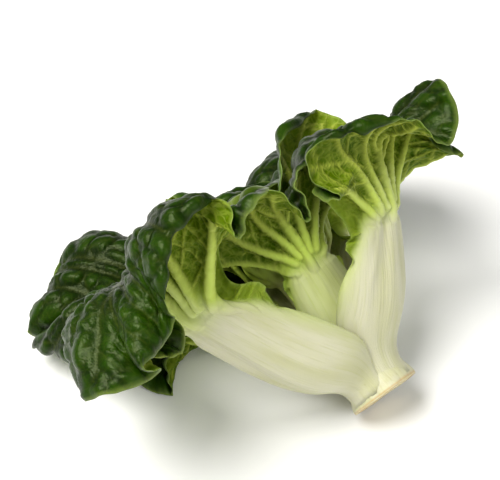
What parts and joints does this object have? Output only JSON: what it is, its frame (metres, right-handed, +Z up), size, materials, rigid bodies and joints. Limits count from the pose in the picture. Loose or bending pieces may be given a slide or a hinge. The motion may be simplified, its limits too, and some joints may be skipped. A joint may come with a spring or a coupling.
{
  "type": "baby bok choy",
  "caption": "Cut head of baby bok choy lying on its side: thick pale petioles on a cut stem base, with crinkled dark green blades that curl outwards.",
  "frame": {"origin": "centre of the footprint of the whole head, on the surface it lies on", "axes": "+Z up; +X from the cut stem base towards the leaf tips, level with the surface; +Y to the left of that, where the outermost leaf spreads. The head's own axis rises 23 degrees from +X."},
  "size_m": [0.1224, 0.1596, 0.1124],
  "materials": {
    "cut_stem": "moist cream flesh with a tan, slightly dried cut face",
    "outer_leaf": "waxy ivory white petiole passing into a crinkled, glossy dark green blade, yellow green beneath",
    "middle_leaf": "pale yellow green petiole and a crinkled green blade",
    "inner_leaf": "pale yellow green petiole and a smaller, brighter green blade",
    "heart_leaf": "tender yellow green"
  },
  "bodies": {
    "root": {"stem_base": "cut_stem", "outer_leaf_front": "outer_leaf", "outer_leaf_under": "outer_leaf", "outer_leaf_back": "outer_leaf", "middle_leaf_low_left": "middle_leaf", "middle_leaf_low_right": "middle_leaf", "middle_leaf_top": "middle_leaf", "inner_leaf_low": "inner_leaf", "inner_leaf_right": "inner_leaf", "inner_leaf_left": "inner_leaf", "heart_leaf_back": "heart_leaf", "heart_leaf_front": "heart_leaf"}
  },
  "joints": []
}
